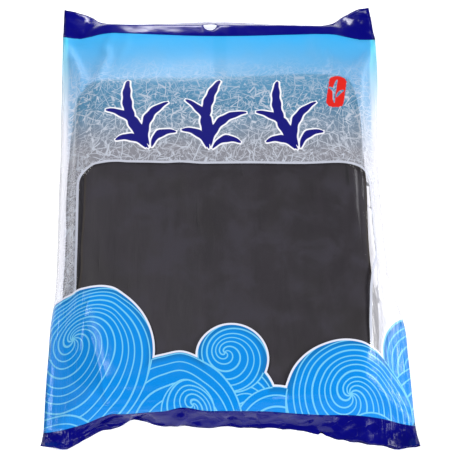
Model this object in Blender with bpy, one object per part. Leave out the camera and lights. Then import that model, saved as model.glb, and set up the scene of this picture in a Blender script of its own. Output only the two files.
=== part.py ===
"""A sealed film pack of dried kelp sheets, lying on its back, as one closed solid.

Run with: blender --background --python part.py
Lengths are in metres, +Z up. The pack lies with its header (the wide top seal) towards +Y,
its bottom fin towards -Y, and the middle of the box around it above the origin.
"""

import bpy
import bmesh
import math

# ---- the film bag ----
FLAT_HALF_WIDTH = 0.152      # half the width of the bag laid flat
PLAN_HALF_WIDTH = 0.150      # half the width that its ends take up, slightly rippled
WAIST = 0.0030               # how far the side folds pull in at mid length
SEAL_SKEW = 0.0020           # how far both ends of the bag lean out of square, over its half width
FILM = 0.0012                # thickness given to the sealed film
SIDE_FOLD_HEIGHT = 0.0115    # height of the side folds above the table
FLOOR_CLEARANCE = 0.0004     # the lowest that a fin hangs above the table

# ---- the stack of sheets inside ----
STACK_HEIGHT = 0.0350        # top of the film over the stack
STACK_CROWN = 0.0012         # how much the middle of the stack stands above its rims
STACK_FOOT_Y = -0.1570       # where the top of the stack ends, at the fin
STACK_HEAD_Y = 0.1270        # and at the header
SHOULDER = 0.0170            # width of the slope from a side fold up to the stack
CREASE_SOFTNESS = 0.0016     # roundness of the ridges between the slopes

# ---- the underside ----
SIDE_REACH = 0.0180          # how far in from a side fold the film comes down to the table
FOOT_REACH = 0.0300          # the same, in from the fin
HEAD_REACH = 0.0480          # and in from the header

# ---- facets where the film spans from the stack's lower corners: three points on each ----
LEFT_FACET = ((-0.122, -0.083, 0.0335), (-0.102, -0.160, 0.0330), (-0.149, -0.150, 0.0090))
RIGHT_FACET = ((0.119, -0.117, 0.0330), (0.112, -0.160, 0.0330), (0.149, -0.165, 0.0080))

# ---- bottom fin: across, seal line along, seal line height, slopes down in degrees ----
FIN_STRIPS = (0.0095, 0.0095)
FIN_STATIONS = (
    (-0.152, -0.1985, 0.0040, -15, -28),
    (-0.140, -0.1970, 0.0050, 0, -14),
    (-0.126, -0.1935, 0.0070, 14, -10),
    (-0.106, -0.1870, 0.0110, 42, 6),
    (-0.090, -0.1850, 0.0130, 55, 20),
    (-0.079, -0.1858, 0.0130, 70, 45),
    (-0.068, -0.1860, 0.0140, 55, 30),
    (-0.052, -0.1835, 0.0165, 58, 42),
    (-0.038, -0.1820, 0.0180, 58, 42),
    (-0.004, -0.1862, 0.0170, 62, 35),
    (0.057, -0.1895, 0.0150, 58, 28),
    (0.093, -0.1917, 0.0120, 38, 15),
    (0.107, -0.1912, 0.0110, 32, 10),
    (0.126, -0.1935, 0.0080, 24, 4),
    (0.140, -0.1970, 0.0045, 5, -14),
    (0.152, -0.1990, 0.0030, -15, -30),
)

# ---- header: across, seal line along, seal line height, slopes up in degrees ----
HEADER_STRIPS = (0.0100, 0.0210)
HEADER_STATIONS = (
    (-0.152, 0.1815, 0.0110, -5, 15),
    (-0.138, 0.1757, 0.0110, 8, 10),
    (-0.124, 0.1774, 0.0150, 3, -35),
    (-0.110, 0.1784, 0.0190, -3, -58),
    (-0.090, 0.1772, 0.0210, -5, -60),
    (0.000, 0.1755, 0.0215, -5, -58),
    (0.090, 0.1755, 0.0210, -5, -59),
    (0.106, 0.1760, 0.0190, -2, -55),
    (0.121, 0.1740, 0.0155, 5, -28),
    (0.134, 0.1720, 0.0120, 10, 8),
    (0.142, 0.1724, 0.0110, 14, 18),
    (0.152, 0.1775, 0.0110, 15, 22),
)

# ---- punched hang hole, centred on the header's bend, and tear notch in the fin ----
HANG_HOLE_X = -0.0090
HANG_HOLE_RADIUS = 0.0063
NOTCH_X = 0.0760
NOTCH_DEPTH = 0.0040
NOTCH_HALF_WIDTH = 0.0022

# ---- mesh density ----
COLUMNS = 44
FIN_ROWS = 4
PANEL_ROWS = 46
HEADER_ROWS = 6
EDGE_CROWDING = 0.22         # 0 gives even columns and rows, more crowds them to the edges

FILM_COLOUR = (0.055, 0.270, 0.640, 1.0)
FILM_ROUGHNESS = 0.22


def ease(low, high, value):
    """0 below low, 1 above high, smooth between."""
    share = min(max((value - low) / (high - low), 0.0), 1.0)
    return share * share * (3.0 - 2.0 * share)


def soft_min(values):
    """The least of some heights, with the corner between two of them rounded."""
    least = min(values)
    spread = sum(math.exp(-(value - least) / CREASE_SOFTNESS) for value in values)
    return least - CREASE_SOFTNESS * math.log(spread)


def crowd(share):
    """Maps 0..1 to 0..1 with steps that shorten towards both ends."""
    centred = 2.0 * share - 1.0
    warped = centred * (1.0 + EDGE_CROWDING) - EDGE_CROWDING * centred ** 3
    return 0.5 * (warped + 1.0)


def station_values(stations, across):
    """A smooth curve through the stations' values (Catmull-Rom), read at one place across."""
    last = len(stations) - 2
    index = 0
    while index < last and across > stations[index + 1][0]:
        index += 1
    before = stations[max(index - 1, 0)]
    start = stations[index]
    end = stations[index + 1]
    after = stations[min(index + 2, len(stations) - 1)]
    span = end[0] - start[0]
    share = min(max((across - start[0]) / span, 0.0), 1.0)
    values = []
    for column in range(1, len(start)):
        slope_in = (end[column] - before[column]) / max(end[0] - before[0], span) * span
        slope_out = (after[column] - start[column]) / max(after[0] - start[0], span) * span
        drop = start[column] - end[column]
        cubic = 2.0 * drop + slope_in + slope_out
        square = -3.0 * drop - 2.0 * slope_in - slope_out
        values.append(((cubic * share + square) * share + slope_in) * share + start[column])
    return values


def hanging_strip(stations, strips, across, distance, outward, upward):
    """A point on a fin, some distance from its seal line, along its two straight strips."""
    along, height, near_slope, far_slope = station_values(stations, across)
    along -= SEAL_SKEW * across / FLAT_HALF_WIDTH
    near = min(distance, strips[0])
    far = max(distance - strips[0], 0.0)
    near_angle = math.radians(near_slope)
    far_angle = math.radians(far_slope)
    along += outward * (near * math.cos(near_angle) + far * math.cos(far_angle))
    height += upward * (near * math.sin(near_angle) + far * math.sin(far_angle))
    return along, max(height, FILM + FLOOR_CLEARANCE)


def fin_point(across, distance):
    return hanging_strip(FIN_STATIONS, FIN_STRIPS, across, distance, -1.0, -1.0)


def header_point(across, distance):
    return hanging_strip(HEADER_STATIONS, HEADER_STRIPS, across, distance, 1.0, 1.0)


def plane_height(points, x, y):
    """Height at (x, y) of the plane through three points."""
    (x0, y0, z0), (x1, y1, z1), (x2, y2, z2) = points
    area = (x1 - x0) * (y2 - y0) - (x2 - x0) * (y1 - y0)
    share_1 = ((x - x0) * (y2 - y0) - (x2 - x0) * (y - y0)) / area
    share_2 = ((x1 - x0) * (y - y0) - (x - x0) * (y1 - y0)) / area
    return z0 + share_1 * (z1 - z0) + share_2 * (z2 - z0)


def ramp(start, end, reach, distance):
    return start + (end - start) * distance / reach


def panel_heights(across, along_share):
    """Plan position and the heights of the film over and under the stack."""
    fin_y, fin_z = fin_point(across, 0.0)
    head_y, head_z = header_point(across, 0.0)
    y = fin_y + (head_y - fin_y) * along_share
    bow = math.sin(math.pi * along_share) ** 0.5
    side_x = PLAN_HALF_WIDTH - WAIST * bow
    x = across / FLAT_HALF_WIDTH * side_x

    edge = math.copysign(FLAT_HALF_WIDTH, across)
    fin_corner = fin_point(edge, 0.0)[1]
    head_corner = header_point(edge, 0.0)[1]
    fold_z = SIDE_FOLD_HEIGHT
    fold_z += (fin_corner - SIDE_FOLD_HEIGHT) * (1.0 - ease(0.0, 0.15, along_share))
    fold_z += (head_corner - SIDE_FOLD_HEIGHT) * ease(0.85, 1.0, along_share)

    from_side = max(side_x - abs(x), 0.0)
    from_fin = y - fin_y
    from_head = head_y - y
    crown = STACK_CROWN * (1.0 - (x / PLAN_HALF_WIDTH) ** 2)
    full = STACK_HEIGHT - STACK_CROWN + crown
    top = soft_min((
        full,
        ramp(fold_z, full, SHOULDER, from_side),
        ramp(fin_z, full, STACK_FOOT_Y - fin_y, from_fin),
        ramp(head_z, full, head_y - STACK_HEAD_Y, from_head),
        plane_height(LEFT_FACET, x, y),
        plane_height(RIGHT_FACET, x, y),
    ))
    bottom = max(
        (fold_z - FILM) * (1.0 - ease(0.0, SIDE_REACH, from_side)),
        (fin_z - FILM) * (1.0 - ease(0.0, FOOT_REACH, from_fin)),
        (head_z - FILM) * (1.0 - ease(0.0, HEAD_REACH, from_head)),
    )
    return x, y, max(top, bottom + FILM), bottom


def strip_heights(across, distance, point):
    """The same for a fin: one sheet, its thickness measured square to its slope."""
    x = across / FLAT_HALF_WIDTH * PLAN_HALF_WIDTH
    y, top = point(across, distance)
    step = 0.5 * FILM
    y_before, top_before = point(across, max(distance - step, 0.0))
    y_after, top_after = point(across, distance + step)
    steepness = (top_after - top_before) / max(abs(y_after - y_before), 1e-6)
    thickness = FILM * min(math.hypot(1.0, steepness), 2.0)
    return x, y, top, max(top - thickness, FLOOR_CLEARANCE)


def sheet_point(column_share, row):
    """Any point of the bag: its plan position, upper height and lower height."""
    across = FLAT_HALF_WIDTH * (2.0 * crowd(column_share) - 1.0)
    if row < FIN_ROWS:
        distance = sum(FIN_STRIPS) * (FIN_ROWS - row) / FIN_ROWS
        return strip_heights(across, distance, fin_point)
    row -= FIN_ROWS
    if row <= PANEL_ROWS:
        return panel_heights(across, crowd(row / PANEL_ROWS))
    distance = sum(HEADER_STRIPS) * (row - PANEL_ROWS) / HEADER_ROWS
    return strip_heights(across, distance, header_point)


def add_sheet(bm, rows, upper):
    """One sheet of the bag: a flat grid whose points are then carried to their places."""
    made = bmesh.ops.create_grid(bm, x_segments=COLUMNS, y_segments=rows, size=1.0)
    verts = made["verts"]
    for vert in verts:
        column_share = 0.5 * (vert.co.x + 1.0)
        row = round(0.5 * (vert.co.y + 1.0) * rows)
        x, y, top, bottom = sheet_point(column_share, row)
        vert.co = (x, y, top if upper else bottom)
    faces = {face for vert in verts for face in vert.link_faces}
    return list(faces)


def rim_edges(faces):
    return [edge for face in faces for edge in face.edges if edge.is_boundary]


def bag_mesh():
    """Two sheets joined all round, with the flat underside merged into few faces."""
    rows = FIN_ROWS + PANEL_ROWS + HEADER_ROWS
    bm = bmesh.new()
    upper = add_sheet(bm, rows, True)
    lower = add_sheet(bm, rows, False)
    rim = list(dict.fromkeys(rim_edges(upper) + rim_edges(lower)))
    bmesh.ops.bridge_loops(bm, edges=rim)
    flat = [face for face in bm.faces if all(abs(vert.co.z) < 1e-7 for vert in face.verts)]
    flat_edges = list({edge for face in flat for edge in face.edges})
    flat_verts = list({vert for face in flat for vert in face.verts})
    bmesh.ops.dissolve_limit(bm, angle_limit=0.0005, verts=flat_verts, edges=flat_edges)
    bmesh.ops.recalc_face_normals(bm, faces=bm.faces)
    centre_in_plan(bm)
    mesh = bpy.data.meshes.new("kelp_pack")
    bm.to_mesh(mesh)
    bm.free()
    return mesh


def centre_in_plan(bm):
    """Moves the bag so that the box around it stands centred on the origin."""
    xs = [vert.co.x for vert in bm.verts]
    ys = [vert.co.y for vert in bm.verts]
    middle = (-0.5 * (min(xs) + max(xs)), -0.5 * (min(ys) + max(ys)), 0.0)
    bmesh.ops.translate(bm, verts=bm.verts, vec=middle)


def film_material():
    material = bpy.data.materials.new("printed_film")
    material.use_nodes = True
    shader = material.node_tree.nodes["Principled BSDF"]
    shader.inputs["Base Color"].default_value = FILM_COLOUR
    shader.inputs["Roughness"].default_value = FILM_ROUGHNESS
    shader.inputs["Metallic"].default_value = 0.0
    return material


def make_cutter(name, sides, radius, location, plan_scale):
    """A tall hidden prism that cuts straight down through a fin."""
    bm = bmesh.new()
    bmesh.ops.create_cone(bm, cap_ends=True, segments=sides,
                          radius1=radius, radius2=radius, depth=0.2)
    bmesh.ops.scale(bm, verts=bm.verts, vec=(plan_scale[0], plan_scale[1], 1.0))
    bmesh.ops.translate(bm, verts=bm.verts, vec=location)
    mesh = bpy.data.meshes.new(name)
    bm.to_mesh(mesh)
    bm.free()
    cutter = bpy.data.objects.new(name, mesh)
    cutter.hide_render = True
    cutter.display_type = "WIRE"
    bpy.context.scene.collection.objects.link(cutter)
    return cutter


def cut(body, cutter):
    boolean = body.modifiers.new(cutter.name, "BOOLEAN")
    boolean.operation = "DIFFERENCE"
    boolean.solver = "EXACT"
    boolean.object = cutter


def hang_hole_cutter():
    """The round hole, seen from above on the bent header: shorter beyond the bend."""
    slopes = station_values(HEADER_STATIONS, HANG_HOLE_X)[2:]
    near = HANG_HOLE_RADIUS * math.cos(math.radians(slopes[0]))
    far = HANG_HOLE_RADIUS * math.cos(math.radians(slopes[1]))
    bend_y = header_point(HANG_HOLE_X, HEADER_STRIPS[0])[0]
    centre = (HANG_HOLE_X, bend_y + 0.5 * (far - near), 0.0)
    scale = (1.0, 0.5 * (near + far) / HANG_HOLE_RADIUS)
    return make_cutter("hang_hole_cutter", 20, HANG_HOLE_RADIUS, centre, scale)


def notch_cutter():
    """A three-sided prism whose point reaches into the fin from its free edge."""
    edge_y = fin_point(NOTCH_X, sum(FIN_STRIPS))[0]
    radius = NOTCH_DEPTH
    centre = (NOTCH_X, edge_y, 0.0)
    scale = (NOTCH_HALF_WIDTH / (radius * math.sin(math.radians(60))), 1.0)
    return make_cutter("notch_cutter", 3, radius, centre, scale)


def main():
    for old in list(bpy.data.objects):
        bpy.data.objects.remove(old, do_unlink=True)
    pack = bpy.data.objects.new("kelp_pack", bag_mesh())
    pack.data.materials.append(film_material())
    bpy.context.scene.collection.objects.link(pack)
    cut(pack, hang_hole_cutter())
    cut(pack, notch_cutter())
    pack.data.shade_smooth()
    pack.data.set_sharp_from_angle(angle=math.radians(40))


main()
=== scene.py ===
"""Looks of a sealed film pack of dried kelp sheets, laid out as a Blender add-on.

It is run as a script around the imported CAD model. Lengths are in metres, +Z up, the header
towards +Y. The print is laid out on the flat bag, in millimetres: across from the middle of
the front, along from the seal of the bottom fin.
"""

import math

import bmesh
import bpy
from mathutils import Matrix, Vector, noise
from mathutils.bvhtree import BVHTree


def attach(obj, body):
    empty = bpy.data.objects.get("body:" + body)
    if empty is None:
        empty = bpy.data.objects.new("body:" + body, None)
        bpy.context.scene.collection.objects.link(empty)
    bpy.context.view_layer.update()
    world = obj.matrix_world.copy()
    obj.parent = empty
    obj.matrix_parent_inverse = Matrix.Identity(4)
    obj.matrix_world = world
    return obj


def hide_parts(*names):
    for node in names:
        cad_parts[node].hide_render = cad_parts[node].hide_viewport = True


bl_info = {
    "name": "Dried Kelp Pack",
    "version": (1, 0, 0),
    "blender": (4, 5, 0),
    "location": "3D View > Sidebar > Kelp Pack",
    "description": "Makes the film, the seam and the sheets of a pack of dried kelp",
    "category": "Add Mesh",
}

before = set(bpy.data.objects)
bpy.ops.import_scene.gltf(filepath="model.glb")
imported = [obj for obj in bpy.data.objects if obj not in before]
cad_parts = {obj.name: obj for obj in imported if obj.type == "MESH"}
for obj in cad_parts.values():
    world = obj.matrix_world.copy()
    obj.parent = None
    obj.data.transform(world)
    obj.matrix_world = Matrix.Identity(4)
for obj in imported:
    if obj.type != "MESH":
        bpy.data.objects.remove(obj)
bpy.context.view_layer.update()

# ---- the bag laid flat, and the way its ends stand; starts from the CAD model's sizes ----
FLAT_HALF_WIDTH = 0.152
PANEL_LENGTH = 0.378
SEAL_SKEW = 0.002
SIDE_FOLD_HEIGHT = 0.0115
CENTRE_SHIFT = 0.00233       # moves the stations' frame onto the middle of the CAD box
LEFT_FACET = ((-0.122, -0.083, 0.0335), (-0.102, -0.160, 0.0330), (-0.149, -0.150, 0.0090))
RIGHT_FACET = ((0.119, -0.117, 0.0330), (0.112, -0.160, 0.0330), (0.149, -0.165, 0.0080))

FIN_STRIPS = (0.0095, 0.0095)
FIN_TRIM = (0.85, 1.17)      # the fin is cut askew: its length at the left and at the right
FIN_STATIONS = (             # across, along, height, slope of the near and of the far strip
    (-0.152, -0.2007, 0.0040, -34, -47),
    (-0.140, -0.1994, 0.0050, -17, -30),
    (-0.130, -0.1974, 0.0064, 30, 20),
    (-0.118, -0.1947, 0.0086, 55, 45),
    (-0.106, -0.1904, 0.0110, 66, 56),
    (-0.096, -0.1876, 0.0123, 63, 53),
    (-0.088, -0.1881, 0.0130, 73, 63),
    (-0.079, -0.1877, 0.0130, 88, 78),
    (-0.068, -0.1870, 0.0140, 81, 71),
    (-0.060, -0.1870, 0.0152, 69, 59),
    (-0.052, -0.1867, 0.0165, 66, 56),
    (-0.038, -0.1843, 0.0180, 51, 51),
    (-0.020, -0.1871, 0.0175, 65, 53),
    (-0.004, -0.1873, 0.0170, 66, 56),
    (0.030, -0.1879, 0.0159, 67, 57),
    (0.057, -0.1900, 0.0150, 68, 56),
    (0.078, -0.1908, 0.0132, 53, 43),
    (0.093, -0.1906, 0.0120, 35, 35),
    (0.107, -0.1913, 0.0110, 29, 19),
    (0.126, -0.1936, 0.0080, 26, 16),
    (0.140, -0.1967, 0.0045, 0, -22),
    (0.152, -0.1985, 0.0030, -28, -38),
)
HEADER_STRIPS = (0.0125, 0.0185)
HEADER_STATIONS = (
    (-0.152, 0.1824, 0.0110, -4, 1),
    (-0.138, 0.1793, 0.0110, -2, -5),
    (-0.124, 0.1789, 0.0150, -16, -25),
    (-0.117, 0.1799, 0.0170, -16, -47),
    (-0.106, 0.1803, 0.0195, -17, -56),
    (-0.090, 0.1788, 0.0210, -18, -56),
    (-0.060, 0.1769, 0.0213, -13, -52),
    (-0.020, 0.1747, 0.0214, -8, -46),
    (0.020, 0.1742, 0.0214, -8, -47),
    (0.060, 0.1750, 0.0212, -13, -54),
    (0.090, 0.1756, 0.0210, -19, -57),
    (0.104, 0.1766, 0.0194, -20, -57),
    (0.113, 0.1769, 0.0174, -18, -51),
    (0.121, 0.1758, 0.0155, -18, -27),
    (0.134, 0.1746, 0.0120, 2, -2),
    (0.142, 0.1749, 0.0110, 16, 11),
    (0.152, 0.1752, 0.0110, 15, 22),
)
EAR_TAPER = 0.0052           # the right ear's outer edge leans in by this much at its top
FOLD_STATIONS = (            # along, how far out the left and the right fold stand
    (0.000, 0.1528, 0.1518),
    (0.026, 0.1520, 0.1510),
    (0.058, 0.1505, 0.1500),
    (0.078, 0.1500, 0.1502),
    (0.093, 0.1492, 0.1482),
    (0.112, 0.1472, 0.1432),
    (0.131, 0.1466, 0.1404),
    (0.200, 0.1476, 0.1398),
    (0.250, 0.1480, 0.1408),
    (0.290, 0.1490, 0.1442),
    (0.333, 0.1500, 0.1483),
    (0.378, 0.1510, 0.1500),
)
HANG_HOLE = Vector((-0.009, PANEL_LENGTH + HEADER_STRIPS[0]))
HANG_HOLE_RADIUS = 0.0063
NOTCH_ACROSS = 0.076
NOTCH_DEPTH = 0.004

# ---- the stack of sheets under the film ----
STACK_LEFT, STACK_RIGHT = -0.134, 0.130
STACK_FOOT, STACK_HEAD = -0.175, 0.127
STACK_TOP = 0.033
DRIFT = 0.0016               # how far a sheet may lie out of line
SHEET_REACH = 0.0085         # how far sheets push out into the left side fold
RIGHT_GAP = 0.0065           # bare film between the sheets and the right side fold
SHEET_CLEARANCE = 0.0022     # kept free between the sheets and the film beside them
SHEET_THICKNESS = 0.0009
PRESSED_THICKNESS = 0.00085  # of the sheets under the top one
LOWEST_SHEET = 0.0024
LEFT_ROUND, RIGHT_ROUND = (0.024, 0.013), (0.022, 0.012)    # reach in, height lost
FOOT_ROUND, HEAD_ROUND = (0.030, 0.015), (0.022, 0.009)

# ---- the film before and after it settles ----
START_LIFT = 0.0025          # it starts this far over the stack,
SIDE_RUN = 0.017             # climbs to that over this much from its side folds
FULL_FOOT, FULL_HEAD = -0.157, 0.127    # and keeps it between these
SIM_SCALE = 10.0             # the cloth is settled at ten times its size
SIM_GAP = 0.008              # how far the film stays off the stack, at that size
TABLE_GAP = 0.010            # and off the table
BACK_OFFSET = 1.0            # added to the print map's x on the back of the bag
SEAM_HALF_WIDTH = 0.006
LOWEST_FILM = 0.0007
LOWEST_SEAM = 0.0002
SEAM_GAP = 0.00005           # between the seam and the film, and the table under it
LAP_GAP = 0.0002             # and this much more at the edge of its lap
SAME_PLACE = 1e-5            # two places closer than this are one
FIN_FLOOR = 0.0012           # the fins stay this high over the table
LAYER_GAP = 0.0003           # between the two layers of a fin


def ink(red, green, blue):
    """A colour given as screen values 0-255, as the linear values that nodes take."""
    linear = []
    for value in (red, green, blue):
        share = value / 255.0
        linear.append(share / 12.92 if share <= 0.04045 else ((share + 0.055) / 1.055) ** 2.4)
    return tuple(linear)


# ---------------------------------------------------------------- settings


COLOUR = {"subtype": "COLOR", "size": 3}


class FilmSettings(bpy.types.PropertyGroup):
    """The film bag."""

    columns: bpy.props.IntProperty(
        name="Columns", description="Faces across each side of the bag", default=95, min=20)
    panel_rows: bpy.props.IntProperty(
        name="Panel rows", description="Faces along the bag between its seals", default=118, min=20)
    settle_frames: bpy.props.IntProperty(
        name="Settling frames", description="Steps of cloth simulation", default=32, min=1)
    stiffness: bpy.props.FloatProperty(
        name="Bending stiffness", description="How much the film resists folding", default=2.0)
    seam_thickness: bpy.props.FloatProperty(
        name="Seam thickness", description="Thickness of the lapped back seam",
        default=0.0002, unit="LENGTH", precision=5)


class PrintSettings(bpy.types.PropertyGroup):
    """The inks printed on the film, and lighter copies of them down its bare sides, which are
    painted light.
    """

    navy: bpy.props.FloatVectorProperty(
        name="Navy", description="The header, the fin and the sprigs",
        default=ink(2, 2, 116), **COLOUR)
    sky: bpy.props.FloatVectorProperty(
        name="Sky", description="Just under the header", default=ink(50, 180, 244), **COLOUR)
    haze: bpy.props.FloatVectorProperty(
        name="Haze", description="Half way down the pale band",
        default=ink(102, 182, 230), **COLOUR)
    paper: bpy.props.FloatVectorProperty(
        name="Paper", description="Thin pale ink round the window, and the rims of the waves",
        default=ink(234, 236, 250), **COLOUR)
    # painted light: the bare sides' white, a lighter copy of the paper ink for the floor's light
    # through the film
    margin: bpy.props.FloatVectorProperty(
        name="Margin", description="White of the bag's bare sides",
        default=ink(246, 246, 254), **COLOUR)
    # painted light: a lighter copy of the sky ink on the bare sides, for the floor's light through
    # them
    lit_margin_sky: bpy.props.FloatVectorProperty(
        name="Margin sky", description="Pale cyan of the bare sides near the header",
        default=ink(84, 216, 250), **COLOUR)
    fibre: bpy.props.FloatVectorProperty(
        name="Fibre", description="The fine fibres", default=ink(224, 232, 246), **COLOUR)
    wave: bpy.props.FloatVectorProperty(
        name="Wave", description="The waves", default=ink(8, 148, 242), **COLOUR)
    crest: bpy.props.FloatVectorProperty(
        name="Crest", description="The crests of the waves", default=ink(16, 126, 202), **COLOUR)
    wave_line: bpy.props.FloatVectorProperty(
        name="Wave lines", description="The fine lines in the waves",
        default=ink(120, 208, 248), **COLOUR)
    silver: bpy.props.FloatVectorProperty(
        name="Silver", description="The outline of the window",
        default=ink(196, 200, 214), **COLOUR)
    stamp: bpy.props.FloatVectorProperty(
        name="Stamp", description="The small leaning stamp", default=ink(222, 30, 20), **COLOUR)


class KelpSettings(bpy.types.PropertyGroup):
    """The dried sheets in the bag."""

    sheets: bpy.props.IntProperty(
        name="Sheets", description="How many sheets lie under the top one", default=20, min=2)
    thickness: bpy.props.FloatProperty(
        name="Thickness", description="Thickness of a dried sheet",
        default=SHEET_THICKNESS, unit="LENGTH", precision=4)
    blade: bpy.props.FloatVectorProperty(
        name="Blade", description="A sheet's face", default=ink(37, 32, 38), **COLOUR)
    rim: bpy.props.FloatVectorProperty(
        name="Rim", description="A sheet's thin edge", default=ink(50, 42, 32), **COLOUR)


class StageSettings(bpy.types.PropertyGroup):
    """The floor, the lights and the camera."""

    floor: bpy.props.FloatVectorProperty(
        name="Floor", description="Colour of the floor", default=ink(250, 250, 252), **COLOUR)
    glow: bpy.props.FloatProperty(
        name="Glow", description="Light that the floor gives off itself, as a light table does",
        default=0.50)
    surround: bpy.props.FloatProperty(
        name="Surround", description="Brightness of the even light all round", default=0.12)
    lens: bpy.props.FloatProperty(
        name="Lens", description="Focal length of the camera in millimetres",
        default=80.0, min=20.0)


# ---------------------------------------------------------------- the shape of the bag


def ease(low, high, value):
    """0 below low, 1 above high, smooth between."""
    share = min(max((value - low) / (high - low), 0.0), 1.0)
    return share * share * (3.0 - 2.0 * share)


def soft_min(values, softness=0.0016):
    """The least of some heights, with the corner between two of them rounded."""
    least = min(values)
    spread = sum(math.exp(-(value - least) / softness) for value in values)
    return least - softness * math.log(spread)


def station_values(stations, across):
    """A smooth curve through the stations' values (Catmull-Rom), read at one place across."""
    last = len(stations) - 2
    index = 0
    while index < last and across > stations[index + 1][0]:
        index += 1
    before = stations[max(index - 1, 0)]
    start = stations[index]
    end = stations[index + 1]
    after = stations[min(index + 2, len(stations) - 1)]
    span = end[0] - start[0]
    share = min(max((across - start[0]) / span, 0.0), 1.0)
    values = []
    for column in range(1, len(start)):
        slope_in = (end[column] - before[column]) / max(end[0] - before[0], span) * span
        slope_out = (after[column] - start[column]) / max(after[0] - start[0], span) * span
        drop = start[column] - end[column]
        cubic = 2.0 * drop + slope_in + slope_out
        square = -3.0 * drop - 2.0 * slope_in - slope_out
        values.append(((cubic * share + square) * share + slope_in) * share + start[column])
    return values


def hanging_strip(stations, strips, across, distance, outward, upward):
    """A point on a fin, some distance from its seal line, along its two straight strips."""
    along, height, near_slope, far_slope = station_values(stations, across)
    along -= SEAL_SKEW * across / FLAT_HALF_WIDTH
    near = min(distance, strips[0])
    far = max(distance - strips[0], 0.0)
    near_angle = math.radians(near_slope)
    far_angle = math.radians(far_slope)
    along += outward * (near * math.cos(near_angle) + far * math.cos(far_angle))
    height += upward * (near * math.sin(near_angle) + far * math.sin(far_angle))
    return along, height


def crumple(across, distance, size):
    """Creased noise over a fin, none at its seal."""
    place = Vector((across * 62.0 + distance * 35.0, distance * 58.0, size * 3000.0))
    creased = 0.45 - 1.7 * abs(noise.noise(place)) + 0.5 * noise.noise(2.2 * place)
    return size * creased * ease(0.0, 0.005, distance)


def fin_point(across, distance):
    trim = FIN_TRIM[0] + (FIN_TRIM[1] - FIN_TRIM[0]) * ease(-0.150, 0.100, across)
    strips = [trim * strip for strip in FIN_STRIPS]
    y, z = hanging_strip(FIN_STATIONS, strips, across, trim * distance, -1.0, -1.0)
    lift = crumple(across, distance, 0.0024)
    return y - 0.6 * lift, max(z + 0.8 * lift, FIN_FLOOR)


def header_point(across, distance):
    y, z = hanging_strip(HEADER_STATIONS, HEADER_STRIPS, across, distance, 1.0, 1.0)
    lift = crumple(across, distance, 0.0004 + 0.0010 * ease(0.112, 0.135, abs(across)))
    return y, max(z + lift, FIN_FLOOR)


def plan_across(across, along):
    """Where a column of the bag stands in plan, between its two side folds."""
    left, right = station_values(FOLD_STATIONS, min(max(along, 0.0), PANEL_LENGTH))
    ear = ease(0.110, 0.152, across) * max(along - PANEL_LENGTH, 0.0) / sum(HEADER_STRIPS)
    return across / FLAT_HALF_WIDTH * (right if across > 0.0 else left) - EAR_TAPER * ear


def plane_height(points, x, y):
    """Height at (x, y) of the plane through three points."""
    (x0, y0, z0), (x1, y1, z1), (x2, y2, z2) = points
    area = (x1 - x0) * (y2 - y0) - (x2 - x0) * (y1 - y0)
    share_1 = ((x - x0) * (y2 - y0) - (x2 - x0) * (y - y0)) / area
    share_2 = ((x1 - x0) * (y - y0) - (x - x0) * (y1 - y0)) / area
    return z0 + share_1 * (z1 - z0) + share_2 * (z2 - z0)


def rounded_off(inside, edge):
    """Height lost at some distance inside a rounded edge."""
    reach, drop = edge
    share = min(max(1.0 - inside / reach, 0.0), 1.0)
    return drop * (1.0 - math.sqrt(max(1.0 - share * share, 0.0)))


def stack_height(x, y):
    """Top of the stack of sheets, in the stations' frame."""
    height = STACK_TOP
    height -= rounded_off(x - STACK_LEFT, LEFT_ROUND) + rounded_off(STACK_RIGHT - x, RIGHT_ROUND)
    height -= rounded_off(y - STACK_FOOT, FOOT_ROUND) + rounded_off(STACK_HEAD - y, HEAD_ROUND)
    facets = [plane_height(facet, x, y) - 0.0015 for facet in (LEFT_FACET, RIGHT_FACET)]
    height = soft_min((height, *facets), 0.001)
    swell = math.sin(x / 0.019 + 1.3 * math.sin(y / 0.060)) * math.sin(y / 0.047 + 0.7)
    return max(height + 0.0005 * swell, 0.006)


def panel_point(across, share, front):
    """Where a point of the bag's front or back starts before the film settles."""
    fin_y, fin_z = fin_point(across, 0.0)
    head_y, head_z = header_point(across, 0.0)
    y = fin_y + (head_y - fin_y) * share
    along = PANEL_LENGTH * share
    edge = math.copysign(FLAT_HALF_WIDTH, across)
    side_x = abs(plan_across(edge, along))
    x = plan_across(across, along)
    fold = SIDE_FOLD_HEIGHT
    fold += (fin_point(edge, 0.0)[1] - fold) * (1.0 - ease(0.0, 0.15, share))
    fold += (header_point(edge, 0.0)[1] - SIDE_FOLD_HEIGHT) * ease(0.85, 1.0, share)
    held = math.sin(math.pi * share)
    fold += 0.0012 * held * noise.noise(Vector((along * 30.0, 5.0 if across > 0.0 else 1.0, 0.0)))
    from_side = max(side_x - abs(x), 0.0)
    from_fin = y - fin_y
    from_head = head_y - y
    full = STACK_TOP + START_LIFT
    top = soft_min((
        full,
        fold + (full - fold) * from_side / SIDE_RUN,
        fin_z + (full - fin_z) * from_fin / (FULL_FOOT - fin_y),
        head_z + (full - head_z) * from_head / (head_y - FULL_HEAD),
        *(plane_height(facet, x, y) + 0.001 for facet in (LEFT_FACET, RIGHT_FACET)),
    ))
    bottom = max(
        (fold - 0.001) * (1.0 - ease(0.0, 0.018, from_side)),
        (fin_z - 0.001) * (1.0 - ease(0.0, 0.030, from_fin)),
        (head_z - 0.001) * (1.0 - ease(0.0, 0.048, from_head)),
        0.0008,
    )
    return x, y, max(top, bottom + 0.001) if front else bottom


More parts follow.
